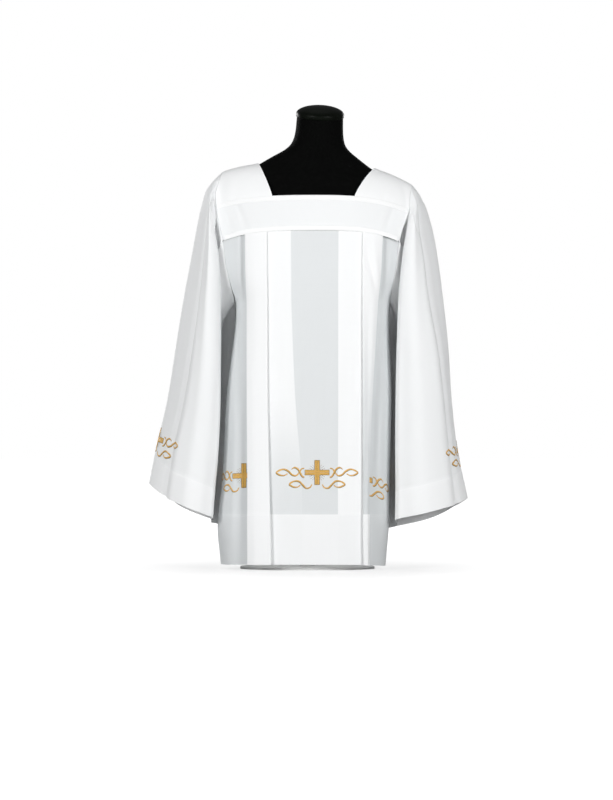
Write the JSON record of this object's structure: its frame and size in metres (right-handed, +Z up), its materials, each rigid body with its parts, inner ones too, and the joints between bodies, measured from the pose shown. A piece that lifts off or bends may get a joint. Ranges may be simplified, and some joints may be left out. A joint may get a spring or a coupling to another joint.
{
  "type": "surplice on a dress form",
  "caption": "White square-necked surplice with a yoke band, box pleats and wide open sleeves with turned-up hems, hanging on a black limbless dress form with a low oval stand.",
  "frame": {"origin": "middle of the underside of the stand's oval base, on the surface that the part stands on", "axes": "+Z up; the garment's front faces -Y; +X is the wearer's left, which is on the right of someone who looks at the front"},
  "size_m": [0.7216, 0.2393, 1.0496],
  "materials": {
    "white_cloth": "thin smooth polyester and cotton weave, matt with a faint sheen",
    "white_tape": "folded woven tape, matt",
    "black_jersey": "stretched black jersey, matt",
    "black_wood": "black lacquer, satin",
    "white_steel": "white paint, satin"
  },
  "bodies": {
    "root": {"form_torso": "black_jersey", "form_neck_cap": "black_wood", "stand_base": "white_steel", "stand_post": "white_steel", "stand_flange": "white_steel", "shoulder_right": "white_cloth", "shoulder_left": "white_cloth", "yoke_front": "white_cloth", "yoke_back": "white_cloth", "neck_tape_front": "white_tape", "yoke_tape_front": "white_tape", "neck_tape_back": "white_tape", "yoke_tape_back": "white_tape", "front_panel": "white_cloth", "back_panel": "white_cloth", "front_skirt": "white_cloth", "back_skirt": "white_cloth", "sleeve_right": "white_cloth", "sleeve_left": "white_cloth"}
  },
  "joints": []
}
